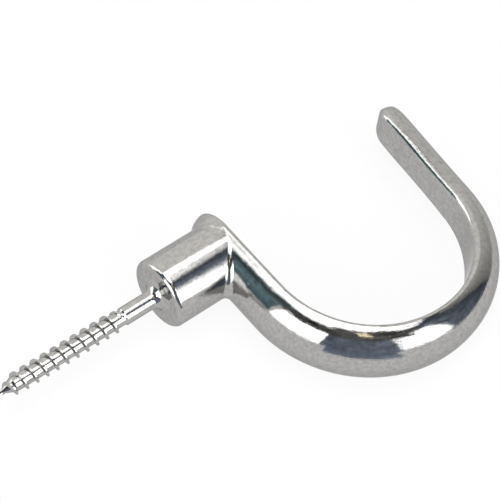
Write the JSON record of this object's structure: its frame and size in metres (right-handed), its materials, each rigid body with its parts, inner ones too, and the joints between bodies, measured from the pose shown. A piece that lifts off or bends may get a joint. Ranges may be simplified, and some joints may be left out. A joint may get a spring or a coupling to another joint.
{
  "type": "screw hook",
  "caption": "Polished metal screw hook: coarse wood screw, round boss and a large D-section hook in one piece.",
  "frame": {"origin": "centre of the boss's seat face, the face that meets the wall, on the screw's axis", "axes": "+X out of the wall along the screw's axis, +Y towards the open side of the hook, +Z normal to the hook's plane; the part lies on its side"},
  "size_m": [0.1163, 0.057, 0.0164],
  "materials": {
    "polished_steel": "mirror polished with fine polishing marks; the metal is read as stainless steel"
  },
  "bodies": {
    "root": {"screw_hook": "polished_steel"}
  },
  "joints": []
}
